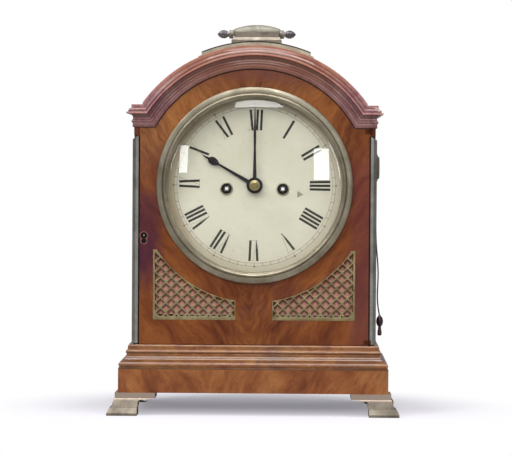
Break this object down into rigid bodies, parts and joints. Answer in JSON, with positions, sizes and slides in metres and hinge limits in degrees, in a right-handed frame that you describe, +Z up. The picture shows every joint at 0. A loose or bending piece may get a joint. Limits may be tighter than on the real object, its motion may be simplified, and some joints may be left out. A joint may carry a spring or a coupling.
{
  "type": "bracket clock",
  "caption": "Arched wooden bracket clock with a round painted dial, brass feet, frets and carrying handle, and a striking movement with pull repeat.",
  "frame": {"origin": "on the floor, in the middle of the rectangle of the four feet", "axes": "+Z up, the dial faces -Y, +X to the right as seen from the front"},
  "size_m": [0.3176, 0.2154, 0.4323],
  "materials": {
    "side_boards": "polished mahogany",
    "arch_top": "polished mahogany",
    "base_board": "polished mahogany",
    "base_moulding": "polished mahogany",
    "plinth": "polished mahogany",
    "feet": "aged",
    "cornice": "polished mahogany",
    "corner_strips": "aged",
    "saddle_plate": "aged",
    "handle_block": "aged",
    "handle_bail": "aged",
    "handle_finials": "aged",
    "door_frame": "polished flame mahogany",
    "bezel": "aged and lacquered",
    "dial_glass": "clear",
    "front_frets": "aged",
    "front_silks": "salmon pink silk",
    "door_fittings": "aged",
    "lock_bolt": "bright",
    "hinge_pins": "aged",
    "side_frets": "aged",
    "side_silks": "salmon pink silk",
    "rear_door": "polished mahogany",
    "rear_glass": "clear",
    "rear_hinge_eyes": "aged",
    "rear_latch": "aged",
    "seatboard": "plain waxed",
    "front_plate": "lacquered",
    "back_plate": "lacquered",
    "dial": "aged cream paint",
    "dial_grommets": "polished",
    "going_barrel": "lacquered",
    "strike_barrel": "lacquered",
    "barrel_arbors": "bright",
    "going_fusee": "lacquered",
    "strike_fusee": "lacquered",
    "gut_lines": "waxed gut",
    "centre_wheel": "lacquered",
    "third_wheel": "lacquered",
    "escape_wheel": "lacquered",
    "pallets": "polished",
    "back_cock": "lacquered",
    "pendulum": "lacquered",
    "cannon_wheel": "lacquered",
    "minute_wheel": "lacquered",
    "hour_wheel": "lacquered",
    "hour_hand": "blued",
    "minute_hand": "blued",
    "pin_wheel": "lacquered",
    "gathering_wheel": "lacquered",
    "warning_wheel": "lacquered",
    "fly": "lacquered",
    "hammer": "polished",
    "bell": "turned bell metal",
    "rack": "polished",
    "rack_hook": "polished",
    "repeat_lever": "polished",
    "repeat_cord": "twisted silk",
    "cord_bead": "dark polished wood-like bead",
    "cord_boss": "aged"
  },
  "bodies": {
    "case": {"side_boards": "side_boards", "arch_top": "arch_top", "base_board": "base_board", "base_moulding": "base_moulding", "plinth": "plinth", "feet": "feet", "cornice": "cornice", "corner_strips": "corner_strips", "saddle_plate": "saddle_plate", "handle_block": "handle_block", "handle_finials": "handle_finials", "hinge_pins": "hinge_pins", "side_frets": "side_frets", "side_silks": "side_silks", "seatboard": "seatboard", "front_plate": "front_plate", "back_plate": "back_plate", "dial": "dial", "dial_grommets": "dial_grommets", "barrel_arbors": "barrel_arbors", "gut_lines": "gut_lines", "back_cock": "back_cock", "bell": "bell", "cord_boss": "cord_boss"},
    "front_door": {"door_frame": "door_frame", "bezel": "bezel", "dial_glass": "dial_glass", "front_frets": "front_frets", "front_silks": "front_silks", "door_fittings": "door_fittings"},
    "lock_bolt": {"lock_bolt": "lock_bolt"},
    "rear_door": {"rear_door": "rear_door", "rear_glass": "rear_glass", "rear_hinge_eyes": "rear_hinge_eyes"},
    "rear_latch": {"rear_latch": "rear_latch"},
    "handle": {"handle_bail": "handle_bail"},
    "centre": {"centre_wheel": "centre_wheel", "cannon_wheel": "cannon_wheel", "minute_hand": "minute_hand"},
    "minute_wheel": {"minute_wheel": "minute_wheel"},
    "hour": {"hour_wheel": "hour_wheel", "hour_hand": "hour_hand"},
    "third_wheel": {"third_wheel": "third_wheel"},
    "escape_wheel": {"escape_wheel": "escape_wheel"},
    "pallets": {"pallets": "pallets"},
    "pendulum": {"pendulum": "pendulum"},
    "going_fusee": {"going_fusee": "going_fusee"},
    "going_barrel": {"going_barrel": "going_barrel"},
    "gathering_wheel": {"gathering_wheel": "gathering_wheel"},
    "pin_wheel": {"pin_wheel": "pin_wheel"},
    "strike_fusee": {"strike_fusee": "strike_fusee"},
    "strike_barrel": {"strike_barrel": "strike_barrel"},
    "warning_wheel": {"warning_wheel": "warning_wheel"},
    "fly": {"fly": "fly"},
    "hammer": {"hammer": "hammer"},
    "rack": {"rack": "rack"},
    "rack_hook": {"rack_hook": "rack_hook"},
    "repeat_lever": {"repeat_lever": "repeat_lever"},
    "repeat_pull": {"repeat_cord": "repeat_cord", "cord_bead": "cord_bead"}
  },
  "joints": [
    {"name": "front_door_swing", "type": "hinge", "parent": "case", "child": "front_door", "pos_m": [0.1264, -0.0838, 0.25042], "axis": [0, 0, 1], "range_deg": [0, 110]},
    {"name": "lock_bolt_throw", "type": "slide", "parent": "front_door", "child": "lock_bolt", "axis": [-1, 0, 0], "range_m": [0, 0.004]},
    {"name": "rear_door_swing", "type": "hinge", "parent": "case", "child": "rear_door", "pos_m": [-0.1138, 0.0974, 0.25042], "axis": [0, 0, 1], "range_deg": [0, 110]},
    {"name": "rear_latch_turn", "type": "hinge", "parent": "rear_door", "child": "rear_latch", "pos_m": [0.1046, 0.0958, 0.23042], "axis": [0, 1, 0], "range_deg": [0, 90]},
    {"name": "handle_fold", "type": "hinge", "parent": "case", "child": "handle", "pos_m": [0, 0.0068, 0.41932], "axis": [1, 0, 0], "range_deg": [0, 170]},
    {"name": "minute_turn", "type": "hinge", "parent": "case", "child": "centre", "pos_m": [0, 0, 0.25042], "axis": [0, 1, 0], "continuous": true},
    {"name": "minute_wheel_turn", "type": "hinge", "parent": "case", "child": "minute_wheel", "pos_m": [0.011, 0, 0.23137], "axis": [0, 1, 0], "continuous": true},
    {"name": "hour_turn", "type": "hinge", "parent": "case", "child": "hour", "pos_m": [0, 0, 0.25042], "axis": [0, 1, 0], "continuous": true},
    {"name": "third_turn", "type": "hinge", "parent": "case", "child": "third_wheel", "pos_m": [-0.00689, 0, 0.27018], "axis": [0, 1, 0], "continuous": true},
    {"name": "escape_turn", "type": "hinge", "parent": "case", "child": "escape_wheel", "pos_m": [0, 0, 0.28642], "axis": [0, 1, 0], "continuous": true},
    {"name": "going_fusee_turn", "type": "hinge", "parent": "case", "child": "going_fusee", "pos_m": [0.0307, 0, 0.24672], "axis": [0, 1, 0], "continuous": true},
    {"name": "going_barrel_turn", "type": "hinge", "parent": "case", "child": "going_barrel", "pos_m": [0.0385, 0, 0.19172], "axis": [0, 1, 0], "continuous": true},
    {"name": "pendulum_swing", "type": "hinge", "parent": "case", "child": "pendulum", "pos_m": [0, 0, 0.30834], "axis": [0, 1, 0], "range_deg": [-2, 2]},
    {"name": "pallets_rock", "type": "hinge", "parent": "case", "child": "pallets", "pos_m": [0, 0, 0.30834], "axis": [0, 1, 0], "range_deg": [-2, 2]},
    {"name": "gathering_turn", "type": "hinge", "parent": "case", "child": "gathering_wheel", "pos_m": [-0.03114, 0, 0.28824], "axis": [0, 1, 0], "continuous": true},
    {"name": "pin_wheel_turn", "type": "hinge", "parent": "case", "child": "pin_wheel", "pos_m": [-0.04014, 0, 0.27266], "axis": [0, 1, 0], "continuous": true},
    {"name": "strike_fusee_turn", "type": "hinge", "parent": "case", "child": "strike_fusee", "pos_m": [-0.0307, 0, 0.24672], "axis": [0, 1, 0], "continuous": true},
    {"name": "strike_barrel_turn", "type": "hinge", "parent": "case", "child": "strike_barrel", "pos_m": [-0.0385, 0, 0.19172], "axis": [0, 1, 0], "continuous": true},
    {"name": "warning_turn", "type": "hinge", "parent": "case", "child": "warning_wheel", "pos_m": [-0.0336, 0, 0.30221], "axis": [0, 1, 0], "continuous": true},
    {"name": "fly_turn", "type": "hinge", "parent": "case", "child": "fly", "pos_m": [-0.02772, 0, 0.31239], "axis": [0, 1, 0], "continuous": true},
    {"name": "hammer_lift", "type": "hinge", "parent": "case", "child": "hammer", "pos_m": [-0.056, 0, 0.31242], "axis": [0, 1, 0], "range_deg": [-18, 0]},
    {"name": "rack_fall", "type": "hinge", "parent": "case", "child": "rack", "pos_m": [-0.052, 0, 0.22602], "axis": [0, 1, 0], "range_deg": [0, 7.6]},
    {"name": "repeat_pull", "type": "slide", "parent": "case", "child": "repeat_pull", "axis": [0, 0, -1], "range_m": [0, 0.01], "stiffness_N_per_m": 80, "springref_m": -0.004, "deforming": ["repeat_cord"]},
    {"name": "repeat_lever_turn", "type": "hinge", "parent": "case", "child": "repeat_lever", "pos_m": [0.062, 0, 0.21502], "axis": [0, 1, 0], "range_deg": [0, 12.3]},
    {"name": "rack_hook_lift", "type": "hinge", "parent": "case", "child": "rack_hook", "pos_m": [-0.062, 0, 0.30002], "axis": [0, 1, 0], "range_deg": [-11, 0]}
  ],
  "couplings": [
    {"joint": "minute_wheel_turn", "follows": "minute_turn", "ratio": -1},
    {"joint": "hour_turn", "follows": "minute_turn", "ratio": 0.083333},
    {"joint": "third_turn", "follows": "minute_turn", "ratio": -12},
    {"joint": "escape_turn", "follows": "minute_turn", "ratio": 132},
    {"joint": "going_fusee_turn", "follows": "minute_turn", "ratio": -0.083333},
    {"joint": "going_barrel_turn", "follows": "minute_turn", "ratio": -0.052709},
    {"joint": "pallets_rock", "follows": "pendulum_swing", "ratio": 1},
    {"joint": "pin_wheel_turn", "follows": "gathering_turn", "ratio": -0.125},
    {"joint": "strike_fusee_turn", "follows": "gathering_turn", "ratio": 0.011905},
    {"joint": "strike_barrel_turn", "follows": "gathering_turn", "ratio": 0.0075299},
    {"joint": "warning_turn", "follows": "gathering_turn", "ratio": -8},
    {"joint": "fly_turn", "follows": "gathering_turn", "ratio": 56},
    {"joint": "repeat_lever_turn", "follows": "repeat_pull", "rad_per_m": 21.2},
    {"joint": "rack_hook_lift", "follows": "repeat_pull", "rad_per_m": -19}
  ]
}
